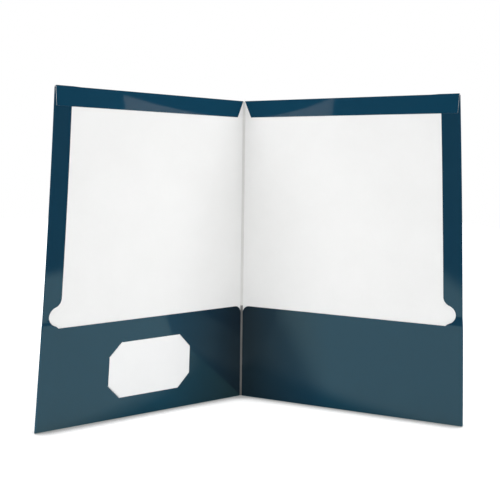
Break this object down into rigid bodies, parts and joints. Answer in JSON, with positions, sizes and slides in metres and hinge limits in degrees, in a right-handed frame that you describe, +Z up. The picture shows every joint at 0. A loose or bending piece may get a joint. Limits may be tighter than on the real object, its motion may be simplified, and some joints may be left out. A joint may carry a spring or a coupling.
{
  "type": "two pocket folder",
  "caption": "Gloss laminated paper folder standing open, with a pocket folded up inside each cover, glued side and top flaps, and a blank card held by slits in the left pocket.",
  "frame": {"origin": "on the surface it stands on, under the middle of the open folder's box", "axes": "+Z up along the spine, +Y towards the spine at the rear, +X towards the back cover on the right"},
  "size_m": [0.3628, 0.1416, 0.2984],
  "materials": {
    "board": "uncoated white board",
    "film": "high gloss laminate",
    "fold": "gloss laminated fold",
    "glue": "dried glue",
    "card": "smooth matt card"
  },
  "bodies": {
    "spine": {"spine_board": "board", "spine_film": "film"},
    "front_cover": {"front_cover_board": "board", "front_cover_film": "film", "front_bottom_fold": "fold", "front_side_fold": "fold", "front_top_fold": "fold", "front_pocket_board": "board", "front_pocket_film": "film", "front_side_flap_board": "board", "front_side_flap_film": "film", "front_top_flap_board": "board", "front_top_flap_film": "film", "front_side_flap_glue": "glue", "front_pocket_glue": "glue", "front_top_flap_glue": "glue", "front_corner_glue": "glue"},
    "front_pocket_corner": {"front_pocket_corner_board": "board", "front_pocket_corner_film": "film"},
    "back_cover": {"back_cover_board": "board", "back_cover_film": "film", "back_bottom_fold": "fold", "back_side_fold": "fold", "back_top_fold": "fold", "back_pocket_board": "board", "back_pocket_film": "film", "back_side_flap_board": "board", "back_side_flap_film": "film", "back_top_flap_board": "board", "back_top_flap_film": "film", "back_side_flap_glue": "glue", "back_pocket_glue": "glue", "back_top_flap_glue": "glue", "back_corner_glue": "glue"},
    "back_pocket_corner": {"back_pocket_corner_board": "board", "back_pocket_corner_film": "film"},
    "card": {"business_card": "card"}
  },
  "joints": [
    {"name": "front_cover_fold", "type": "hinge", "parent": "spine", "child": "front_cover", "pos_m": [-0.0012, 0.07053, 0], "axis": [0, 0, -1], "range_deg": [-51.9, 37.9]},
    {"name": "back_cover_fold", "type": "hinge", "parent": "spine", "child": "back_cover", "pos_m": [0.0012, 0.07053, 0], "axis": [0, 0, 1], "range_deg": [-51.9, 37.9]},
    {"name": "front_pocket_flex", "type": "hinge", "parent": "front_cover", "child": "front_pocket_corner", "pos_m": [-0.00095, 0.06939, 0.002], "axis": [0.5076, 0.3952, -0.7656], "range_deg": [0, 20], "stiffness_Nm_per_rad": 0.06},
    {"name": "back_pocket_flex", "type": "hinge", "parent": "back_cover", "child": "back_pocket_corner", "pos_m": [0.00095, 0.06939, 0.002], "axis": [0.5076, -0.3952, 0.7656], "range_deg": [0, 20], "stiffness_Nm_per_rad": 0.06},
    {"name": "card_slip", "type": "slide", "parent": "front_cover", "child": "card", "axis": [0.6143, -0.7891, 0], "range_m": [0, 0.05], "deforming": ["business_card"]}
  ]
}
